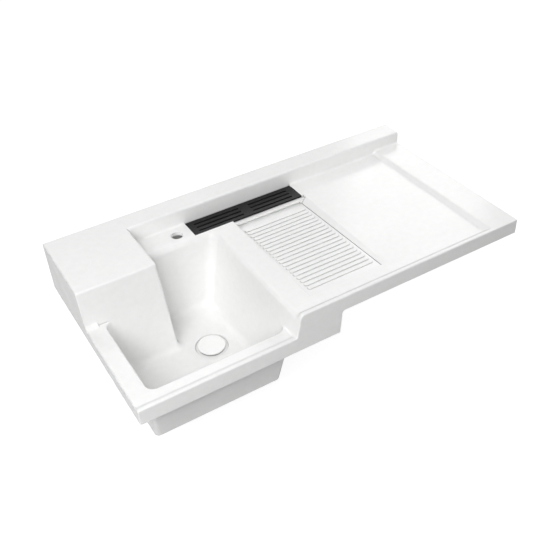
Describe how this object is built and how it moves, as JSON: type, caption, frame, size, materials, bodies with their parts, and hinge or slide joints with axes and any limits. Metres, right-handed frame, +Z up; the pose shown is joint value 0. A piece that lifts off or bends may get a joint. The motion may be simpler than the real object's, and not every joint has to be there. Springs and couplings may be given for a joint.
{
  "type": "laundry countertop with basin",
  "caption": "Cast laundry countertop with a deep L-shaped basin, a ribbed drip board, a covered trough and a flat tray over a machine bay.",
  "frame": {"origin": "front left corner of the plane that the countertop rests on, under the skirts round the basin", "axes": "+X along the front to the right, +Y towards the wall, +Z up"},
  "size_m": [1.2, 0.62, 0.4185],
  "materials": {
    "cast_stone": "gloss gelcoat",
    "cover_black": "satin",
    "pad_rubber": "matte",
    "waste_white": "satin",
    "seal_rubber": "matte",
    "nut_grey": "satin",
    "basket_steel": "brushed",
    "cap_white": "gloss",
    "stem_brass": "satin"
  },
  "bodies": {
    "top": {"top_rim": "cast_stone", "top_block": "cast_stone", "top_upstand": "cast_stone", "top_step": "cast_stone", "top_basin_rear": "cast_stone", "top_tap_deck": "cast_stone", "top_drip_board": "cast_stone", "top_front_border": "cast_stone", "top_tray": "cast_stone", "top_trough_left": "cast_stone", "top_trough_right": "cast_stone", "top_trough_bridge": "cast_stone", "top_trough_sill": "cast_stone", "top_trough_rear": "cast_stone", "top_trough_floor": "cast_stone", "top_basin_walls": "cast_stone", "top_basin_foot": "cast_stone", "top_basin_front_floor": "cast_stone", "top_basin_rear_floor": "cast_stone", "top_basin_outlet": "cast_stone", "top_skirt": "cast_stone", "waste_body": "waste_white", "waste_top_seal": "seal_rubber", "waste_gasket": "seal_rubber", "waste_locknut": "nut_grey", "tailpiece_washer": "seal_rubber", "tailpiece_nut": "nut_grey", "tailpiece": "waste_white", "trough_outlet": "waste_white", "trough_gasket": "seal_rubber", "trough_nut": "nut_grey"},
    "cover": {"trough_cover": "cover_black", "cover_pad_1": "pad_rubber", "cover_pad_2": "pad_rubber", "cover_pad_3": "pad_rubber", "cover_pad_4": "pad_rubber"},
    "basket": {"strainer_basket": "basket_steel"},
    "plug": {"plug_cap": "cap_white", "plug_seal": "seal_rubber", "plug_stem": "stem_brass"}
  },
  "joints": [
    {"name": "cover_lift", "type": "slide", "parent": "top", "child": "cover", "axis": [0, 0, 1], "range_m": [0, 0.08]},
    {"name": "basket_lift", "type": "slide", "parent": "top", "child": "basket", "axis": [0, 0, 1], "range_m": [0, 0.12]},
    {"name": "plug_lift", "type": "slide", "parent": "basket", "child": "plug", "axis": [0, 0, 1], "range_m": [0, 0.009]}
  ]
}
